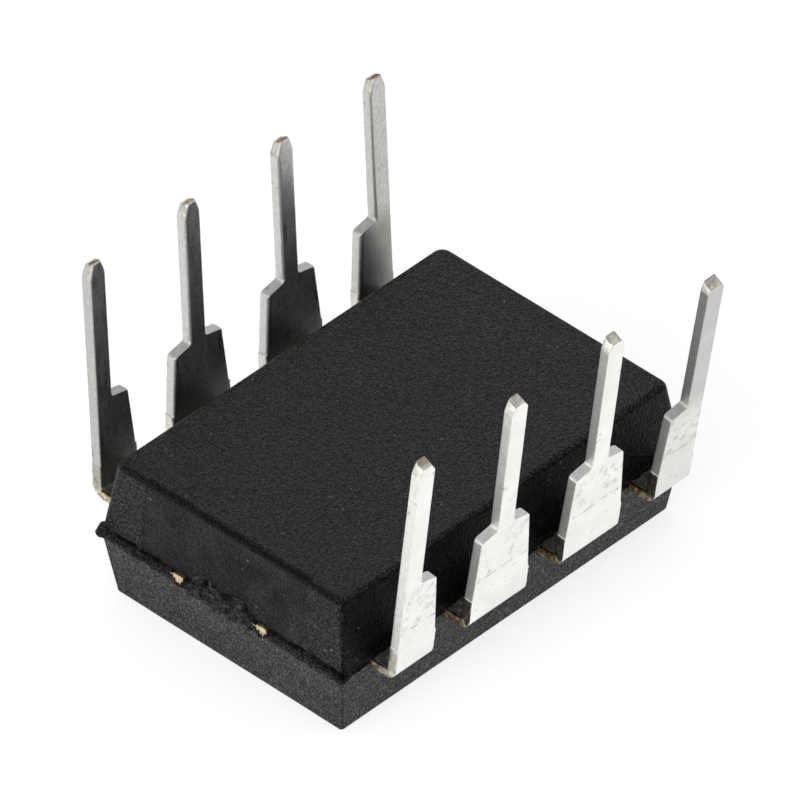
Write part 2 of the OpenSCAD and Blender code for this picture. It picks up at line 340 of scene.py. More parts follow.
    # marked face: one flat face inside small flat rings, which keep the
    # shading of the rim from spreading over it
    base = verts[idx[0]].copy()
    base[:, 2] = 0.0
    base[:, :2] -= N[0][:, :2] * 0.012
    base[:, 0] = np.where(notch[0] > 0, verts[idx[0]][:, 0] - 0.004, base[:, 0])
    off = len(verts)
    verts = np.concatenate([verts, base])
    bi = np.arange(off, off + n_p)
    faces += np.stack([bi, np.roll(bi, -1), np.roll(idx[0], -1), idx[0]], -1).tolist()
    for d in (0.012, 0.030):
        inner = base.copy()
        inner[:, :2] -= N[0][:, :2] * d
        off = len(verts)
        verts = np.concatenate([verts, inner])
        bj = np.arange(off, off + n_p)
        faces += np.stack([bj, np.roll(bj, -1), np.roll(bi, -1), bi], -1).tolist()
        bi = bj
    faces.append(bi[::-1].tolist())
    # board-side face: rings that shrink to the middle
    last = idx[-1]
    top = verts[last].copy()
    rows = [last]
    for f in (0.985, 0.95, 0.88, 0.76, 0.6, 0.4, 0.2):
        rr = top.copy()
        rr[:, 0] *= f
        rr[:, 1] *= f
        rr[:, 2] = HT - 0.0004 + 0.0025 * (fbm(np.stack(
            [rr[:, 0] * .7, rr[:, 1] * .7, rr[:, 0] * 0], -1), 71, 2) - 0.5)
        off = len(verts)
        verts = np.concatenate([verts, rr])
        rows.append(np.arange(off, off + n_p))
    for r0, r1 in zip(rows[:-1], rows[1:]):
        faces += np.stack([r0, np.roll(r0, -1), np.roll(r1, -1), r1], -1).tolist()
    off = len(verts)
    verts = np.concatenate([verts, [[0, 0, HT - 0.0015]]])
    r = rows[-1]
    faces += [[int(p_), int(q_), off] for p_, q_ in zip(r, np.roll(r, -1))]

    # attributes the material reads
    nv = len(verts)
    g = np.zeros(nv); pt = np.zeros(nv); fl = np.zeros(nv); lw = np.zeros(nv)
    n0 = n_r * n_p
    g[:n0] = gate.reshape(-1)
    pt[:n0] = patch.reshape(-1)
    mottle = 0.66 + 0.75 * fbm(P * [9, 9, 13], 77, 4, 0.65)
    # painted shade: the upper part of the torn web and the groove above it, under the
    # overhang of the board-side half
    shade = np.clip(band * sstep(0.00, 0.065, zz) * (1 - smear) + 0.9 * gro, 0, 1)
    shade = np.clip((shade * 1.25 + 0.10 * band) * mottle, 0, 1)
    flake = ((X + L2) ** 2 + (Y - W2 + 0.05) ** 2) / 0.30 ** 2 + (
        (Z - ZP - 0.045) / 0.22) ** 2
    shade = shade * (1 - 0.55 * sstep(1.1, 0.5, flake))
    # painted shade in the hollows and along the rim of the broken gate
    gate_hollow_shade = np.clip(cav * 13 - 0.25 + 0.9 * rim, 0, 1) * gate
    # how deep the grain of each face is, and how little light it throws back: partly each
    # face's finish, partly painted shade on the upper side walls between the leads and
    # along the top's rounded edge; the ends of the marked half get darker towards the
    # bottom
    up = sstep(0.0, 0.03, zz)
    south = np.isin(KIND, (6, 2)).astype(float)
    turn = sstep(0.25, 0.75, np.abs(N[..., 1])) * np.isin(KIND, (1, 3, 5, 7))
    south = np.maximum(south, turn)
    rnd = sstep(HT - 0.125, HT - 0.090, Z) * sstep(HT + 0.0003, HT - 0.005, Z)
    grain = 0.66 + 0.20 * (1 - up) + 0.30 * up * south + 0.22 * up * (
        1 - south) * (1 - patch) * sstep(0.02, 0.14, HT - Z) + 0.16 * patch
    clouds = fbm(P * [2.2, 2.2, 2.6], 91, 3)
    finish_and_painted_shade = (up * south * (0.86 + 0.12 * clouds) * sstep(0.0, 0.07, HT - Z)
           + up * (1 - south) * (1 - patch) * 0.13 * sstep(0.02, 0.14, HT - Z)
           + patch * (1 - gate) * (0.51 + 0.45 * clouds)
           + (1 - up) * end_m * (0.40 * sstep(-0.30, -1.15, zz) + 0.10
                                 + 0.26 * clouds)
           + (1 - up) * south * (0.26 + 0.22 * clouds))
    # painted shade: a dark band along the rounded edge of the board-side face
    finish_and_painted_shade = np.maximum(finish_and_painted_shade, 0.72 * rnd * np.maximum(1 - south, 0.3))
    gn = np.full(nv, 0.66); dm = np.zeros(nv)
    gn[:n0] = np.clip(grain, 0, 1).reshape(-1)
    dm[:n0] = np.clip(finish_and_painted_shade, 0, 0.95).reshape(-1)
    gn[n0:n0 + 3 * n_p] = 0.8
    dm[n0:n0 + 3 * n_p] = 0.25
    fl[:n0] = np.clip(np.maximum(shade * (1 - gate), gate_hollow_shade), 0, 1).reshape(-1)
    lw[:n0] = (sstep(lo + 0.012, lo - 0.012, zz) * end_m
               + sstep(0.01, -0.02, zz) * side_m).reshape(-1)
    # a light scratch, high on the plain end
    scr = west_f * np.exp(-((Y - 1.16) / 0.070) ** 2
                          - ((Z - ZP - 0.755 - 0.08 * (Y - 1.16)) / 0.013) ** 2)
    lw[:n0] = np.maximum(lw[:n0], scr.reshape(-1))
    lw[n0:n0 + 3 * n_p] = 0.55
    ob = make_object("epoxy_body", verts, faces,
                     {"gate": g, "patch": pt, "flash": fl, "lower": lw,
                  "grain": gn, "finish_and_painted_shade": dm})
    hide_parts("body")
    return ob


# -------------------------------------------------------------------- leads
def lead_x(n):
    return PITCH * (2.5 - n if n <= 4 else n - 6.5)


def build_lead(n):
    rng = np.random.default_rng(100 + n)
    corner = n in (1, 4, 5, 8)
    sgn = -1 if n <= 4 else 1                  # row, in Y
    m = -1 if lead_x(n) > 0 else 1             # way to the middle, in X
    lean = math.radians(SPLAY[n - 1])
    row = ROW_A if n <= 4 else ROW_B
    t = SHEET
    r_in = BEND_R - t
    zc = ZP + t / 2 + r_in
    uc = row + ((zc - ZP) * math.sin(lean) - BEND_R) / math.cos(lean)
    rm = r_in + t / 2
    top = TIP_Z[n - 1]
    cl = math.cos(lean)
    right_row = n <= 4

    def leg_s(z):
        """leg coordinate at which the middle of the sheet is at height z"""
        return (z - zc + rm * math.sin(lean)) / cl

    leg = leg_s(top)                           # length of the leg, at its end

    # stations: (path length coordinate q, half widths low-x and high-x)
    # q < 0: inside and horizontal, measured from the bend centre inward
    # 0..arc: bend, then leg
    arc = (math.pi / 2 - lean) * rm
    p = 0.215
    wt = 0.645
    # the row was trimmed a little off centre, so one side is fuller
    w_side = {-1: 0.735, 1: 0.785} if right_row else {-1: 0.755, 1: 0.775}
    wide_lo = (not corner) or m < 0
    wide_hi = (not corner) or m > 0
    zd = 2.12 + rng.uniform(-.015, .015)
    zi = SHOULDER[n - 1] + rng.uniform(-.012, .012)
    zo = zi - 0.055

    # pairs (leg coordinate s, half width) for a wide side, from the bend up
    def wide_pts(wb):
        pts = []
        step = 0.024
        for z in np.linspace(zc, zd - 0.014, 9):
            pts.append((leg_s(z), wb + step - 0.02 * (zd - z)))
        pts.append((leg_s(zd - 0.005), wb + step))
        pts.append((leg_s(zd + 0.005), wb + 0.001))
        r = 0.085
        for z in np.linspace(zd + 0.03, zo - r, 20):
            w = wb - (z - zd) / (zo - zd) * (wb - wt)
            pts.append((leg_s(z), w))
        w_r = pts[-1][1]
        # rounded outer corner
        for a in np.linspace(10, 80, 8):
            a = math.radians(a)
            pts.append((leg_s(zo - r) + r * math.sin(a),
                        w_r - r * (1 - math.cos(a))))
        s0, w0 = pts[-1]
        # shoulder, nearly square to the lead, then a fillet into the end
        rf = 0.085
        s1, w1 = leg_s(zi), p + rf
        for k in np.linspace(0, 1, 7)[1:]:
            pts.append((s0 + (s1 - s0) * k, w0 + (w1 - w0) * k))
        for a in np.linspace(12, 90, 7):
            a = math.radians(a)
            pts.append((s1 + rf * (1 - math.cos(a)) + 0.002,
                        p + rf * (1 - math.sin(a))))
        return pts

    sh = {k: np.array(wide_pts(w)) for k, w in w_side.items()}
    s_sh = sorted(set(np.round(np.concatenate([sh[-1][:, 0], sh[1][:, 0]]), 6)))
    s_last = s_sh[-1]
    ch_len, ch_cut = (0.15, 0.098) if right_row else (0.26, 0.108)
    if n == 1:
        ch_len, ch_cut = 0.11, 0.062
    s_ch = leg - ch_len                        # chamfer start
    wb = 0.775
    leg_stations = list(s_sh)
    leg_stations += list(np.linspace(s_last, s_ch, 60)[1:])
    leg_stations += [s_ch + ch_len * k for k in (.08, .17, .27, .4, .55, .7, .85, 1.0)]
    leg_stations = sorted(set(round(float(s), 6) for s in leg_stations))
    soft = rng.uniform(1.15, 1.5, 2)           # the cut corners are a bit rounded

    def half(side_wide, s, sd):
        """half width at leg coordinate s on the side sd"""
        if side_wide and s <= s_last:
            w = float(np.interp(s, sh[sd][:, 0], sh[sd][:, 1]))
        else:
            w = p
        if s > s_ch:
            w -= ch_cut * min((s - s_ch) / ch_len, 1.0) ** soft[0 if sd < 0 else 1]
        return w

    # inner finger, half widths against distance u from the middle line
    if corner:
        u_l = [1.62, 1.97, 2.42, 2.70, 3.0]
        far = [1.81, 1.81, 1.06, wb, wb]       # side toward the middle
        u_n = [1.62, 2.25, 2.55, 3.0]
        nearw = [-1.46, -0.06, p, p]           # other side (negative: past x=0)
    else:
        u_l = [1.72, 2.45, 2.70, 3.0]
        far = [0.25, 0.25, wb, wb]
        u_n, nearw = u_l, far

    def finger(u):
        f = float(np.interp(u, u_l, far))
        nn = float(np.interp(u, u_n, nearw))
        lo, hi = (f, nn) if m < 0 else (nn, f)
        if not corner:
            lo = hi = f
        return lo, hi

    st = []                                    # (centre u, z, N(u,z), lo, hi, tag, s)
    u_start = 1.62 if corner else 1.72
    us = sorted(set([u_start, 1.97, 2.25, 2.42, 2.45, 2.55, 2.70, 2.9, 3.0]
                    + list(np.round(np.linspace(3.05, uc, 14), 5))))
    us = [u for u in us if u >= u_start]
    for u in us:
        lo, hi = finger(u)
        if u >= 3.0:
            lo = w_side[-1] + 0.014 if wide_lo else p + 0.008
            hi = w_side[1] + 0.014 if wide_hi else p + 0.008
        st.append((u, ZP, (0.0, -1.0), lo, hi, 1.0, None))
    n_arc = 12
    for k in range(1, n_arc):
        a = -math.pi / 2 + (math.pi / 2 - lean) * k / n_arc
        nu, nz = math.cos(a), math.sin(a)
        lo = w_side[-1] + 0.014 if wide_lo else p + 0.008
        hi = w_side[1] + 0.014 if wide_hi else p + 0.008
        st.append((uc + rm * nu, zc + rm * nz, (nu, nz), lo, hi, 1.0, None))
    nu, nz = math.cos(lean), -math.sin(lean)
    tu, tz = math.sin(lean), math.cos(lean)
    for s in leg_stations:
        lo, hi = half(wide_lo, s, -1), half(wide_hi, s, 1)
        zh = zc - rm * math.sin(lean) + s * cl
        cut = 1.0 if zh < zd else 0.0
        if not wide_lo and zh < zd:
            lo += 0.008
        if not wide_hi and zh < zd:
            hi += 0.008
        st.append((uc + rm * nu + s * tu, zc + rm * nz + s * tz, (nu, nz),
                   lo, hi, cut, s))

    # cross-section of the sheet: nearly sharp on the outer face, where the
    # punch broke through, rolled over on the inner one
    ro, ri = (0.012, 0.030) if right_row else (0.014, 0.052)
    nf = 13                                    # points across a wide face

    def section(lo, hi):
        x0, x1 = -lo, hi
        h = t / 2
        pts = []
        # outer face (n = +h) from low x to high x
        for k in range(nf):
            pts.append((x0 + ro + (x1 - x0 - 2 * ro) * k / (nf - 1), h, 0))
        for a in (65, 40, 15):
            a = math.radians(a)
            pts.append((x1 - ro + ro * math.cos(a), h - ro + ro * math.sin(a), 1))
        for k in range(5):
            pts.append((x1, (h - ro) + (-(h - ri) - (h - ro)) * k / 4, 1))
        for a in (-20, -50, -72):
            a = math.radians(a)
            pts.append((x1 - ri + ri * math.cos(a), -h + ri + ri * math.sin(a), 1))
        for k in range(nf):
            pts.append((x1 - ri - (x1 - x0 - 2 * ri) * k / (nf - 1), -h, 0))
        for a in (-108, -130, -160):
            a = math.radians(a)
            pts.append((x0 + ri + ri * math.cos(a), -h + ri + ri * math.sin(a), 1))
        for k in range(5):
            pts.append((x0, -(h - ri) + ((h - ro) + (h - ri)) * k / 4, 1))
        for a in (165, 140, 115):
            a = math.radians(a)
            pts.append((x0 + ro + ro * math.cos(a), h - ro + ro * math.sin(a), 1))
        return np.array(pts)

    ns = len(section(1, 1))
    V = np.zeros((len(st), ns, 3))
    cutA = np.zeros((len(st), ns)); tipA = np.zeros((len(st), ns))
    sideA = np.zeros((len(st), ns)); legA = np.zeros((len(st), ns))
    faceA = np.zeros((len(st), ns)); browA = np.zeros((len(st), ns))
    topA = np.zeros((len(st), ns)); chamA = np.zeros((len(st), ns))
    x_c = lead_x(n) + FX
    for i, (cu, cz, (nu_, nz_), lo, hi, cut, s) in enumerate(st):
        sec = section(lo, hi)
        X = sec[:, 0]; nn = sec[:, 1]; sd = sec[:, 2]
        # sheared end: it rises to the inner face
        lift = 0.0
        if s is not None and s > s_ch:
            f = min((s - s_ch) / ch_len, 1.0)
            lift = f * (0.095 * (0.5 - nn / t))
        V[i, :, 0] = x_c + X
        V[i, :, 1] = cu + nn * nu_ + (lift * tu if s is not None else 0)
        V[i, :, 2] = cz + nn * nz_ + (lift * tz if s is not None else 0)
        cutA[i] = cut * sd
        sideA[i] = sd
        legA[i] = 0 if s is None else 1
        faceA[i] = np.clip(nn / (t / 2), 0, 1) * (1 - sd)
        # 1 on the flat foot, 0 on the upright part
        browA[i] = float(sstep(0.5, 0.95, -nz_))
        topA[i] = np.clip(0.5 - nn / t, 0, 1) * sd
        chamA[i] = float(sstep(s_ch - 0.01, s_ch + 0.03, s)) if s is not None else 0
    # uneven sheared sides and faint dents
    P = V.copy()
    jig = fbm(P * [30, 30, 16], 200 + n, 3)
    side_dir = np.sign(V[..., 0] - x_c)
    V[..., 0] += side_dir * sideA * (0.003 * fbm(P * [3, 3, 7], 210 + n, 3)
                                     + cutA * 0.010 * jig)
    # burr along the trimmed edge, at its lower and outer corner
    burr = cutA * np.clip(fbm(P * [22, 22, 22], 220 + n, 3) - 0.05, 0, 1)
    V[..., 0] += side_dir * burr * 0.035
    # mirror to the row
    V[..., 1] = FY + sgn * V[..., 1]
    flip = sgn < 0

    verts = V.reshape(-1, 3)
    idx = np.arange(len(st) * ns).reshape(len(st), ns)
    a = idx[:-1]; b = np.roll(idx, -1, 1)[:-1]
    c = np.roll(idx, -1, 1)[1:]; d = idx[1:]
    quads = np.stack([a, d, c, b], -1).reshape(-1, 4)
    faces = quads.tolist()

    cut_l = cutA.reshape(-1); side_l = sideA.reshape(-1)
    end_l = np.zeros(len(verts)); leg_l = legA.reshape(-1)
    face_l = faceA.reshape(-1); foot_l = browA.reshape(-1)
    tone = {1: 0.25, 2: 0.10, 3: 0.15, 4: 0.6, 6: 0.75}.get(n, 1.0)
    # painted light: how far the sheared sides of each lead are lightened
    painted_cut_light = {1: 0.0, 2: 0.0, 3: 0.05, 4: 0.75, 5: 0.45}.get(n, 0.8)
    zv = verts[:, 2]
    painted_lead_shade = np.ones(len(verts))
    narrow = sstep(SHOULDER[n - 1] - 0.35, SHOULDER[n - 1] + 0.45, zv)
    if n == 1:                                 # painted shade: this lead is darker, the more so up its narrow part
        painted_lead_shade = 0.84 - 0.22 * narrow
    elif n > 4:
        g_w, g_n = {5: (0.86, 0.86), 6: (0.86, 0.86), 7: (0.88, 0.76),
                    8: (0.40, 0.70)}[n]
        # painted shade for each lead: one value on the sheared sides, another on the faces
        # that changes towards the narrow part
        painted_lead_shade = np.where(side_l > 0.5, {5: 0.66, 8: 0.76}.get(n, 0.80),
                        g_w + (g_n - g_w) * narrow)
    top_l = topA.reshape(-1); cham_l = chamA.reshape(-1)

    # caps: strips between the outer and inner halves of the last ring
    def cap(ring_i, reverse, rows, rough):
        nonlocal verts, cut_l, side_l, end_l, leg_l, faces, face_l, foot_l, painted_lead_shade
        nonlocal top_l, cham_l
        ring = idx[ring_i]
        # outer face points run low to high, inner ones high to low
        n_half = nf + 3 + 2
        outer = [ring[(k - 5) % ns] for k in range(0, nf + 10)]
        inner = [ring[(nf + 11 + nf + 5 - k) % ns] for k in range(0, nf + 10)]
        k_n = len(outer)
        grid = [outer]
        po = verts[outer]; pi = verts[inner]
        for r in range(1, rows):
            f = r / rows
            pts = po * (1 - f) + pi * f
            nrm = np.array([0, sgn * tu, tz])
            bmp = rough * (fbm(pts * 28, 300 + n, 3) - (0.35 if f > 0.5 else -0.1))
            wgt = np.minimum(1, np.minimum(np.arange(k_n), np.arange(k_n)[::-1]) / 2)
            pts = pts + nrm * (bmp * wgt * min(1, f * 4, (1 - f) * 4))[:, None]
            off = len(verts)
            verts = np.concatenate([verts, pts])
            cut_l = np.concatenate([cut_l, np.ones(k_n)])
            side_l = np.concatenate([side_l, np.ones(k_n)])
            end_l = np.concatenate([end_l, np.full(k_n, 0.5 + f)])
            leg_l = np.concatenate([leg_l, np.ones(k_n)])
            face_l = np.concatenate([face_l, np.zeros(k_n)])
            painted_lead_shade = np.concatenate([painted_lead_shade, np.ones(k_n)])
            foot_l = np.concatenate([foot_l, np.zeros(k_n)])
            top_l = np.concatenate([top_l, np.zeros(k_n)])
            cham_l = np.concatenate([cham_l, np.ones(k_n)])
            grid.append(list(range(off, off + k_n)))
        grid.append(inner)
        for g0, g1 in zip(grid[:-1], grid[1:]):
            for k in range(k_n - 1):
                q = [int(g0[k]), int(g1[k]), int(g1[k + 1]), int(g0[k + 1])]
                q = [v for j, v in enumerate(q) if v not in q[:j]]
                if len(q) >= 3:
                    faces.append(q[::-1] if reverse else q)

    cap(-1, True, 8, 0.022)
    faces.append([int(v) for v in idx[0]])
    if flip:
        faces = [f[::-1] for f in faces]
    ob = make_object(f"tinned_lead_{n}", verts, faces,
                     {"cut": cut_l, "side": side_l, "end": end_l, "foot": foot_l,
                      "outer": face_l, "brown": np.full(len(verts), tone),
                      "painted_cut_light": np.full(len(verts), painted_cut_light), "painted_lead_shade": painted_lead_shade,
                      "topline": top_l, "chamfer": cham_l})
    bm = bmesh.new()
    bm.from_mesh(ob.data)
    bmesh.ops.remove_doubles(bm, verts=bm.verts, dist=1e-8)
    # the cap's strips stop at the side points of the ring: close both gaps
    bmesh.ops.holes_fill(bm, edges=[e for e in bm.edges if e.is_boundary], sides=0)
    bmesh.ops.recalc_face_normals(bm, faces=bm.faces)
    bm.to_mesh(ob.data)
    bm.free()
    ob.data.shade_smooth()
    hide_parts(f"lead_{n}")
    return ob


# ---------------------------------------------------------------- materials
def new_mat(name):
    mat = bpy.data.materials.new(name)
    mat.use_nodes = True
    nt = mat.node_tree
    for nd in list(nt.nodes):
        nt.nodes.remove(nd)
    out = nt.nodes.new("ShaderNodeOutputMaterial")
    bsdf = nt.nodes.new("ShaderNodeBsdfPrincipled")
    nt.links.new(bsdf.outputs[0], out.inputs[0])
    return mat, nt, bsdf


class G:
    """Small helper that adds nodes to one tree."""

    def __init__(self, nt):
        self.nt = nt
        tc = nt.nodes.new("ShaderNodeTexCoord")
        self.obj = tc.outputs["Object"]

    def link(self, a, b):
        self.nt.links.new(a, b)

    def put(self, sock, v):
        if hasattr(v, "is_output"):
            self.link(v, sock)
        else:
            sock.default_value = v

    def mapping(self, scale, rot=(0, 0, 0)):
        nd = self.nt.nodes.new("ShaderNodeMapping")
        self.link(self.obj, nd.inputs["Vector"])
        nd.inputs["Scale"].default_value = scale
        nd.inputs["Rotation"].default_value = rot
        return nd.outputs[0]

    def noise(self, scale, detail=3, rough=0.55, vec=None, dist=0.0):
        nd = self.nt.nodes.new("ShaderNodeTexNoise")
        self.link(vec if vec is not None else self.obj, nd.inputs["Vector"])
        nd.inputs["Scale"].default_value = scale
        nd.inputs["Detail"].default_value = detail
        nd.inputs["Roughness"].default_value = rough
        nd.inputs["Distortion"].default_value = dist
        return nd.outputs[0]

    def voronoi(self, scale, feature="F1", vec=None):
        nd = self.nt.nodes.new("ShaderNodeTexVoronoi")
        nd.feature = feature
        self.link(vec if vec is not None else self.obj, nd.inputs["Vector"])
        nd.inputs["Scale"].default_value = scale
        return nd

    def ramp(self, fac, stops):
        nd = self.nt.nodes.new("ShaderNodeValToRGB")
        cr = nd.color_ramp
        while len(cr.elements) > 1:
            cr.elements.remove(cr.elements[-1])
        cr.elements[0].position = stops[0][0]
        cr.elements[0].color = self._c(stops[0][1])
        for pos, col in stops[1:]:
            e = cr.elements.new(pos)
            e.color = self._c(col)
        self.link(fac, nd.inputs[0])
        return nd.outputs[0]

    @staticmethod
    def _c(c):
        if isinstance(c, (int, float)):
            return (c, c, c, 1)
        return tuple(c) + (1,) if len(c) == 3 else tuple(c)

    def math(self, op, a, b=0.0, clamp=False):
        nd = self.nt.nodes.new("ShaderNodeMath")
        nd.operation = op
        nd.use_clamp = clamp
        self.put(nd.inputs[0], a)
        self.put(nd.inputs[1], b)
        return nd.outputs[0]

    def remap(self, v, a, b, c=0.0, d=1.0):
        nd = self.nt.nodes.new("ShaderNodeMapRange")
        self.put(nd.inputs[0], v)
        for k, x in enumerate((a, b, c, d)):
            nd.inputs[1 + k].default_value = x
        return nd.outputs[0]

    def mix(self, fac, a, b):
        nd = self.nt.nodes.new("ShaderNodeMix")
        nd.data_type = "RGBA"
        self.put(nd.inputs[0], fac)
        self.put(nd.inputs[6], a if hasattr(a, "is_output") else self._c(a))
        self.put(nd.inputs[7], b if hasattr(b, "is_output") else self._c(b))
        return nd.outputs[2]

    def mixf(self, fac, a, b):
        nd = self.nt.nodes.new("ShaderNodeMix")
        nd.data_type = "FLOAT"
        self.put(nd.inputs[0], fac)
        self.put(nd.inputs[2], a)
        self.put(nd.inputs[3], b)
        return nd.outputs[0]

    def attr(self, name):
        nd = self.nt.nodes.new("ShaderNodeAttribute")
        nd.attribute_name = name
        return nd.outputs["Fac"]

    def bump(self, height, strength, dist, normal=None):
        nd = self.nt.nodes.new("ShaderNodeBump")
        nd.inputs["Strength"].default_value = strength
        nd.inputs["Distance"].default_value = dist
        self.link(height, nd.inputs["Height"])
        if normal is not None:
            self.link(normal, nd.inputs["Normal"])
        return nd.outputs[0]


def mat_epoxy():
    mat, nt, b = new_mat("moulding_epoxy")
    g = G(nt)
    gate, patch = g.attr("gate"), g.attr("patch")
    flash, lower = g.attr("flash"), g.attr("lower")
    coarse, finish_and_painted_shade = g.attr("grain"), g.attr("finish_and_painted_shade")
    fine = g.noise(29000, 1.5, 0.5)
    mid = g.noise(12500, 3, 0.6)
    big = g.noise(1500, 4, 0.6)
    cloud = g.noise(420, 3, 0.5)
    quiet = g.math("SUBTRACT", 1.0, g.math("MULTIPLY", patch, 0.55))
    # colour: near black with a faint violet cast, speckled with filler
    col = g.ramp(cloud, [(0.3, (0.0028, 0.0027, 0.0036)),
                         (0.7, (0.0048, 0.0046, 0.0060))])
    grain = g.math("MULTIPLY", g.remap(fine, 0.50, 0.78), quiet)
    col = g.mix(g.math("MULTIPLY", grain, 0.70), col, (0.050, 0.049, 0.052))
    g2 = g.remap(g.mixf(0.40, fine, mid), 0.49, 0.64)
    col = g.mix(g.math("MULTIPLY", lower, g.mixf(g2, 0.12, 1.0)), col,
                (0.094, 0.094, 0.0965))
    # broken facets in the gate, each with its own grey
    chips = g.remap(g.noise(11000, 3, 0.7), 0.46, 0.66)
    col = g.mix(g.math("MULTIPLY", gate, chips), col, (0.062, 0.062, 0.064))
    vo = g.voronoi(5200)
    sp = g.remap(vo.outputs["Distance"], 0.05, 0.16, 1.0, 0.0)
    rare = g.remap(g.math("ADD", g.noise(2100, 2, 0.5), g.math(
        "MULTIPLY", lower, 0.035)), 0.57, 0.65)
    speck = g.math("MULTIPLY", sp, rare)
    col = g.mix(g.math("MULTIPLY", speck, 0.7), col, (0.26, 0.26, 0.26))
    # painted shade at the parting line and in the gate's hollows: a near black colour that
    # reflects little
    dark = g.math("MULTIPLY", flash, 0.95)
    col = g.mix(dark, col, (0.0040, 0.0040, 0.0044))
    g.link(col, b.inputs["Base Color"])
    # the pits of the grain swallow nearly all light; the same low reflection is painted
    # shade in the groove along the parting line, in the gate's hollows, on the upper side
    # walls and along the top's rounded edge
    pit = g.math("MULTIPLY", g.math("MULTIPLY", coarse, 0.92),
                 g.remap(g.mixf(0.22, fine, mid), 0.455, 0.565, 1.0, 0.0))
    keep = g.math("MULTIPLY", g.math("SUBTRACT", 1.0, finish_and_painted_shade),
                  g.math("SUBTRACT", 1.0, pit))
    g.link(g.math("MAXIMUM", g.math("SUBTRACT", 1.0, keep),
                  g.math("MULTIPLY", dark, 0.95), True), b.inputs["Metallic"])
    r = g.remap(cloud, 0.3, 0.7, 0.46, 0.54)
    r = g.mixf(g.math("MULTIPLY", patch, 0.8), r, 0.42)
    r = g.mixf(lower, r, 0.60)
    r = g.mixf(dark, r, 0.8)
    g.link(r, b.inputs["Roughness"])
    b.inputs["Specular IOR Level"].default_value = 0.50
    h = g.math("MULTIPLY", g.math("ADD", g.math("MULTIPLY", fine, 0.55),
                                  g.math("MULTIPLY", mid, 0.95)), quiet)
    n1 = g.bump(h, 1.0, 0.000060)
    n2 = g.bump(big, 0.6, 0.000040, n1)
    rough_h = g.math("MULTIPLY", g.noise(12000, 4, 0.7),
                     g.math("MAXIMUM", dark, gate))
    n3 = g.bump(rough_h, 0.9, 0.00005, n2)
    g.link(n3, b.inputs["Normal"])
    return mat


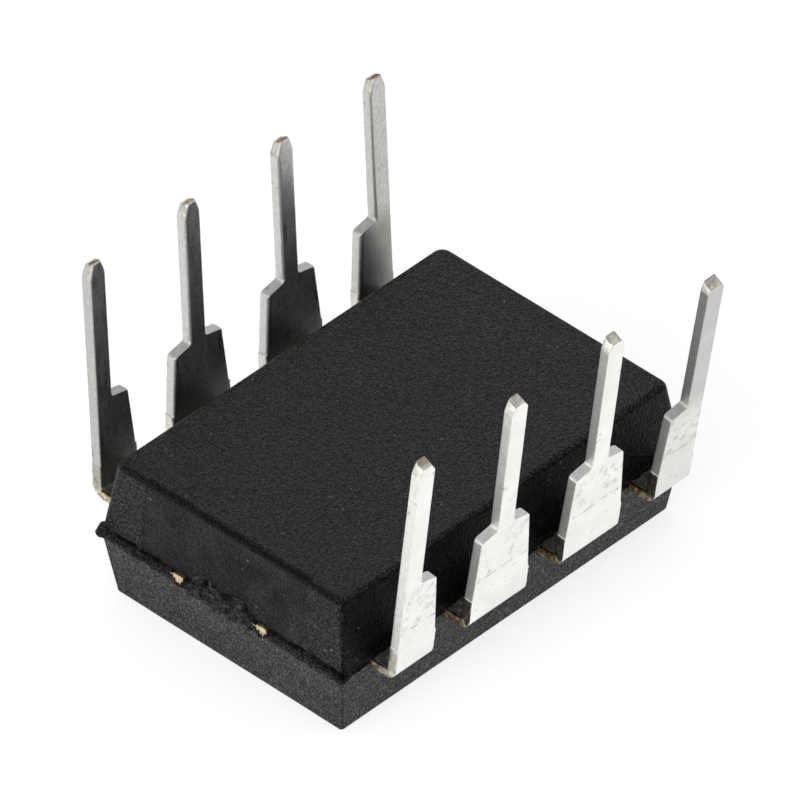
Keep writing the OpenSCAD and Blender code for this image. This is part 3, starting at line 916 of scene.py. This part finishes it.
def mat_tin():
    mat, nt, b = new_mat("tin_plating")
    g = G(nt)
    cut, side, end = g.attr("cut"), g.attr("side"), g.attr("end")
    foot, outer, brown = g.attr("foot"), g.attr("outer"), g.attr("brown")
    painted_cut_light, painted_lead_shade = g.attr("painted_cut_light"), g.attr("painted_lead_shade")
    topline, cham = g.attr("topline"), g.attr("chamfer")
    sep = nt.nodes.new("ShaderNodeSeparateXYZ")
    g.link(g.obj, sep.inputs[0])
    z = sep.outputs[2]
    b.inputs["Metallic"].default_value = 1.0
    fine = g.noise(16000, 4, 0.65)
    streak = g.noise(1.0, 3, 0.6, g.mapping((16000, 16000, 1600)))
    cloud = g.noise(1500, 4, 0.6)
    blot = g.noise(5200, 4, 0.7)
    col = g.ramp(cloud, [(0.3, (0.80, 0.805, 0.775)), (0.7, (0.91, 0.912, 0.885))])
    # sheared sides took a duller coat
    dull = g.ramp(g.noise(13000, 4, 0.7), [(0.35, (0.66, 0.665, 0.64)),
                                           (0.65, (0.86, 0.865, 0.84))])
    col = g.mix(g.math("MULTIPLY", side, 0.8), col, dull)
    # painted shade: some leads darker, and the face toward the body darker still
    ton = g.math("MULTIPLY", painted_lead_shade, g.math("SUBTRACT", 1.0, g.math(
        "MULTIPLY", g.math("MULTIPLY", g.math("SUBTRACT", 1.0, outer), g.math(
            "SUBTRACT", 1.0, side)), 0.10)))
    col = g.mix(ton, (0.0, 0.0, 0.0), col)
    # tarnish in specks on the face toward the body
    inner = g.math("MULTIPLY", g.math("SUBTRACT", 1.0, outer),
                   g.math("SUBTRACT", 1.0, side))
    tarn = g.math("MULTIPLY", inner, g.remap(g.noise(13000, 4, 0.75), 0.44, 0.62))
    col = g.mix(g.math("MULTIPLY", tarn, 0.50), col, (0.30, 0.295, 0.265))
    # the sheared corners at the end are duller and a little yellow
    col = g.mix(g.math("MULTIPLY", g.math("MULTIPLY", cham, side), 0.75), col,
                g.ramp(g.noise(10000, 4, 0.7), [(0.35, (0.36, 0.345, 0.29)),
                                                (0.65, (0.70, 0.68, 0.60))]))
    # the upper face of the flat foot, between the body and the upright part, is darker and
    # rougher
    foot_top_dark = g.math("MULTIPLY", foot, g.math("MULTIPLY", g.math(
        "SUBTRACT", 1.0, outer), g.math("SUBTRACT", 1.0, side)))
    col = g.mix(g.math("MULTIPLY", foot_top_dark, 0.9), col, g.ramp(
        g.noise(8000, 4, 0.7), [(0.35, (0.045, 0.042, 0.036)),
                                (0.55, (0.12, 0.112, 0.095)),
                                (0.75, (0.42, 0.40, 0.35))]))
    # grime held in pits, and in the mark the bending tool left
    pits = g.math("MULTIPLY", g.remap(blot, 0.60, 0.68), g.remap(cloud, 0.47, 0.60))
    pits = g.math("MULTIPLY", pits, g.math("SUBTRACT", 1.0, g.math(
        "MULTIPLY", inner, 0.75)))
    wob = g.math("MULTIPLY", g.math("SUBTRACT", g.noise(1700, 3, 0.6), 0.5), 0.00016)
    zl = g.math("ABSOLUTE", g.math("SUBTRACT", g.math("ADD", z, wob), 0.00258))
    mark = g.math("MULTIPLY", g.remap(zl, 0.0, 0.000030, 1.0, 0.0),
                  g.math("MULTIPLY", outer, g.remap(g.noise(3800, 3, 0.6), 0.46, 0.60)))
    above = g.math("MULTIPLY", g.remap(z, 0.00256, 0.00266),
                   g.remap(z, 0.0034, 0.0041, 1.0, 0.0))
    rubbed = g.math("MULTIPLY", g.math("MULTIPLY", above, outer),
                    g.remap(blot, 0.53, 0.63))
    dirt = g.math("MAXIMUM", g.math("MULTIPLY", pits, 0.8),
                  g.math("MAXIMUM", mark, g.math("MULTIPLY", rubbed, 0.42)), True)
    col = g.mix(g.math("MULTIPLY", dirt, 0.72), col, (0.16, 0.155, 0.14))
    # bare copper alloy where sheared: brown and gold along the foot. On the upright part
    # it is darkened as painted shade; on some leads it is lightened as painted light
    # instead, and the foot's copper turns paler
    nz = g.noise(9000, 4, 0.7)
    cu = g.ramp(nz, [(0.32, (0.075, 0.050, 0.026)), (0.48, (0.34, 0.23, 0.11)),
                     (0.60, (0.70, 0.56, 0.33)), (0.72, (0.95, 0.87, 0.66))])
    dk = g.ramp(nz, [(0.35, (0.055, 0.050, 0.036)), (0.60, (0.13, 0.118, 0.085)),
                     (0.78, (0.30, 0.27, 0.20))])
    dk = g.mix(painted_cut_light, dk, g.ramp(nz, [(0.30, (0.26, 0.24, 0.18)),
                                      (0.41, (0.80, 0.78, 0.70)),
                                      (0.70, (0.92, 0.91, 0.86))]))
    cu = g.mix(g.math("MULTIPLY", painted_cut_light, 0.6), cu, g.ramp(
        nz, [(0.32, (0.34, 0.27, 0.18)), (0.50, (0.84, 0.79, 0.67))]))
    bare = g.mix(foot, dk, cu)
    # a painted highlight where the foot turns up, and a painted shadow line along its
    # upper edge
    turn = g.math("MULTIPLY", g.math("MULTIPLY", foot, g.math(
        "SUBTRACT", 1.0, foot)), 4.0)
    bare = g.mix(g.math("MULTIPLY", turn, g.remap(nz, 0.40, 0.56)), bare,
                 (0.93, 0.86, 0.68))
    edge_shadow_line = g.math("MULTIPLY", foot, g.remap(topline, 0.70, 0.84))
    bare = g.mix(g.math("MULTIPLY", edge_shadow_line, 0.93), bare, (0.014, 0.012, 0.009))
    clean = g.ramp(nz, [(0.35, (0.60, 0.57, 0.47)), (0.6, (0.88, 0.86, 0.78))])
    rust = g.ramp(nz, [(0.35, (0.10, 0.055, 0.030)), (0.55, (0.30, 0.19, 0.10)),
                       (0.70, (0.70, 0.58, 0.38))])
    where = g.math("ADD", end, g.math("MULTIPLY", g.noise(7000, 3, 0.65), 0.8))
    frac = g.math("MULTIPLY", g.remap(where, 1.15, 1.35), brown)
    is_end = g.remap(end, 0.40, 0.50)
    cutf = g.remap(cut, 0.45, 0.75)
    col = g.mix(cutf, col, g.mix(is_end, bare, g.mix(frac, clean, rust)))
    g.link(col, b.inputs["Base Color"])
    r = g.remap(streak, 0.3, 0.7, 0.26, 0.37)
    r = g.mixf(side, r, 0.50)
    r = g.mixf(foot_top_dark, r, 0.6)
    r = g.math("ADD", r, g.math("MULTIPLY", dirt, 0.25))
    r = g.mixf(cutf, r, 0.42)
    g.link(r, b.inputs["Roughness"])
    h = g.math("ADD", g.math("MULTIPLY", fine, 0.6), g.math("MULTIPLY", streak, 0.4))
    n1 = g.bump(h, 0.45, 0.000007)
    n2 = g.bump(cloud, 0.35, 0.000014, n1)
    n3 = g.bump(dirt, -0.6, 0.000005, n2)
    n4 = g.bump(g.math("MULTIPLY", nz, cutf), 0.8, 0.000020, n3)
    g.link(n4, b.inputs["Normal"])
    return mat


def mat_metal(name, c0, c1, rough, scale):
    mat, nt, b = new_mat(name)
    g = G(nt)
    b.inputs["Metallic"].default_value = 1.0
    n = g.noise(scale, 4, 0.6)
    g.link(g.ramp(n, [(0.3, c0), (0.7, c1)]), b.inputs["Base Color"])
    g.link(g.remap(n, 0.3, 0.7, rough * 0.8, rough * 1.25), b.inputs["Roughness"])
    g.link(g.bump(g.noise(scale * 3, 3), 0.4, 0.000004), b.inputs["Normal"])
    return mat


def mat_plain(name, c0, c1, rough, scale, metallic=0.0):
    mat, nt, b = new_mat(name)
    g = G(nt)
    b.inputs["Metallic"].default_value = metallic
    n = g.noise(scale, 4, 0.6)
    g.link(g.ramp(n, [(0.3, c0), (0.7, c1)]), b.inputs["Base Color"])
    g.link(g.remap(n, 0.3, 0.7, rough * 0.85, rough * 1.15), b.inputs["Roughness"])
    g.link(g.bump(n, 0.2, 0.000004), b.inputs["Normal"])
    return mat


def assign(ob, mat):
    ob.data.materials.clear()
    ob.data.materials.append(mat)


EPOXY = mat_epoxy()
TIN = mat_tin()
COPPER = mat_metal("frame_alloy", (0.50, 0.36, 0.16), (0.95, 0.86, 0.62), 0.42, 6500)
GOLD = mat_metal("gold_wire_metal", (0.85, 0.60, 0.20), (0.98, 0.76, 0.34), 0.20, 9000)
GLUE = mat_plain("silver_adhesive", (0.45, 0.45, 0.43), (0.68, 0.68, 0.65), 0.5, 9000, 0.4)
DIE = mat_plain("die_silicon", (0.06, 0.065, 0.085), (0.11, 0.12, 0.15), 0.14, 3000)


def build_burr(name, pts_mm, r_mm):
    """hair-thin curl of metal, tapered at both ends"""
    pts = np.asarray(pts_mm, float)
    t = np.linspace(0, len(pts) - 1, 22)
    path = np.stack([np.interp(t, range(len(pts)), pts[:, k]) for k in range(3)], -1)
    for _ in range(6):
        path[1:-1] = (path[:-2] + 2 * path[1:-1] + path[2:]) / 4
    n, k = len(path), 8
    tan = np.gradient(path, axis=0)
    tan /= np.linalg.norm(tan, axis=1)[:, None]
    side = np.cross(tan, [1.0, 0, 0])
    side /= np.linalg.norm(side, axis=1)[:, None]
    out = np.cross(side, tan)
    rad = r_mm * (0.35 + 0.65 * np.sin(np.linspace(0.06, 0.94, n) * math.pi))
    rad = rad * (1 + 0.25 * fbm(path * 30, 501, 2))
    verts = [path[0]]
    for i in range(n):
        for j in range(k):
            a = 2 * math.pi * j / k
            verts.append(path[i] + rad[i] * (math.cos(a) * side[i]
                                             + 0.6 * math.sin(a) * out[i]))
    verts.append(path[-1])
    faces = [[0, 1 + (j + 1) % k, 1 + j] for j in range(k)]
    for i in range(n - 1):
        o = 1 + i * k
        faces += [[o + j, o + (j + 1) % k, o + k + (j + 1) % k, o + k + j]
                  for j in range(k)]
    o = 1 + (n - 1) * k
    faces += [[o + j, o + (j + 1) % k, len(verts) - 1] for j in range(k)]
    ob = make_object(name, verts, faces)
    bm = bmesh.new()
    bm.from_mesh(ob.data)
    bmesh.ops.recalc_face_normals(bm, faces=bm.faces)
    bm.to_mesh(ob.data)
    bm.free()
    return ob


body = build_body()
assign(body, EPOXY)
for n in range(1, 9):
    assign(build_lead(n), TIN)
for name, pts in (
        ("tie_burr_1", [(-4.712, 1.325, 1.560), (-4.745, 1.270, 1.597),
                        (-4.750, 1.205, 1.612), (-4.722, 1.150, 1.600),
                        (-4.695, 1.125, 1.560)]),
        ("tie_burr_2", [(-4.705, -0.815, 1.566), (-4.742, -0.880, 1.590),
                        (-4.745, -0.960, 1.592), (-4.715, -1.010, 1.570),
                        (-4.690, -1.035, 1.535)]),
        ("tie_burr_3", [(-4.690, -1.095, 1.430), (-4.735, -1.125, 1.385),
                        (-4.738, -1.150, 1.345), (-4.705, -1.165, 1.318)])):
    assign(build_burr(name, pts, 0.0072), COPPER)
for name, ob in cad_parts.items():
    if name == "die_pad":
        assign(ob, COPPER)
    elif name == "die_attach":
        assign(ob, GLUE)
    elif name == "die":
        assign(ob, DIE)
    elif name.startswith("bond_wire"):
        assign(ob, GOLD)
    elif name == "body":
        assign(ob, EPOXY)
    else:
        assign(ob, TIN)

# -------------------------------------------------------------------- stage
me = bpy.data.meshes.new("floor")
s = 0.6
h = -0.000004                   # a hair below the face that rests on it
me.from_pydata([(-s, -s, h), (s, -s, h), (s, s, h), (-s, s, h)], [], [(0, 1, 2, 3)])
floor = bpy.data.objects.new("floor", me)
bpy.context.scene.collection.objects.link(floor)
mat, nt, b = new_mat("pale_floor")
b.inputs["Base Color"].default_value = (0.56, 0.56, 0.56, 1)
b.inputs["Roughness"].default_value = 0.9
b.inputs["Specular IOR Level"].default_value = 0.1
b.inputs["Emission Color"].default_value = (1, 1, 1, 1)
b.inputs["Emission Strength"].default_value = 0.68
assign(floor, mat)

world = bpy.data.worlds.new("soft_studio")
bpy.context.scene.world = world
world.use_nodes = True
wt = world.node_tree
bg = wt.nodes["Background"]
tc = wt.nodes.new("ShaderNodeTexCoord")
sp = wt.nodes.new("ShaderNodeSeparateXYZ")
wt.links.new(tc.outputs["Generated"], sp.inputs[0])
rp = wt.nodes.new("ShaderNodeValToRGB")
rp.color_ramp.elements[0].position = 0.0
rp.color_ramp.elements[0].color = (0.95, 0.95, 0.95, 1)
rp.color_ramp.elements[1].position = 0.75
rp.color_ramp.elements[1].color = (0.52, 0.52, 0.53, 1)
wt.links.new(sp.outputs[2], rp.inputs[0])
wt.links.new(rp.outputs[0], bg.inputs["Color"])
bg.inputs["Strength"].default_value = 1.0


def area(name, loc_mm, target_mm, size_mm, power, color=(1, 1, 1)):
    ld = bpy.data.lights.new(name, "AREA")
    ld.shape = "RECTANGLE"
    ld.size, ld.size_y = size_mm[0] * MM, size_mm[1] * MM
    ld.energy = power
    ld.color = color
    ob = bpy.data.objects.new(name, ld)
    ob.location = Vector(loc_mm) * MM
    d = (Vector(target_mm) - Vector(loc_mm)) * MM
    ob.rotation_euler = d.to_track_quat("-Z", "Y").to_euler()
    bpy.context.scene.collection.objects.link(ob)
    return ob


area("key_left", (-110, -10, 45), (0, 0, 3), (60, 60), 0.045)
area("fill_front", (25, -95, 40), (0, 0, 2), (60, 40), 0.004)

# ------------------------------------------------------------------- camera
AZ, EL, ROLL = math.radians(-46.423), math.radians(39.95), math.radians(0.093)
back = Vector((math.sin(AZ) * math.cos(EL), -math.cos(AZ) * math.cos(EL), math.sin(EL)))
right = Vector((math.cos(AZ), math.sin(AZ), 0))
up = back.cross(right)
cr, srr = math.cos(ROLL), math.sin(ROLL)
r2 = right * cr + up * srr
u2 = up * cr - right * srr
target = Vector((1.126, 0.889, 2.5)) * MM
cam_d = bpy.data.cameras.new("camera")
cam = bpy.data.objects.new("camera", cam_d)
pos = target + back * (380.649 * MM)
cam.matrix_world = Matrix(((r2.x, u2.x, back.x, pos.x), (r2.y, u2.y, back.y, pos.y),
                           (r2.z, u2.z, back.z, pos.z), (0, 0, 0, 1)))
cam_d.sensor_width = 36.0
cam_d.lens = 20078.205 / 800 * 36.0
cam_d.clip_start = 0.01
cam_d.clip_end = 10.0
bpy.context.scene.collection.objects.link(cam)
bpy.context.scene.camera = cam
bpy.context.scene.view_settings.view_transform = "Standard"
bpy.context.scene.view_settings.look = "None"
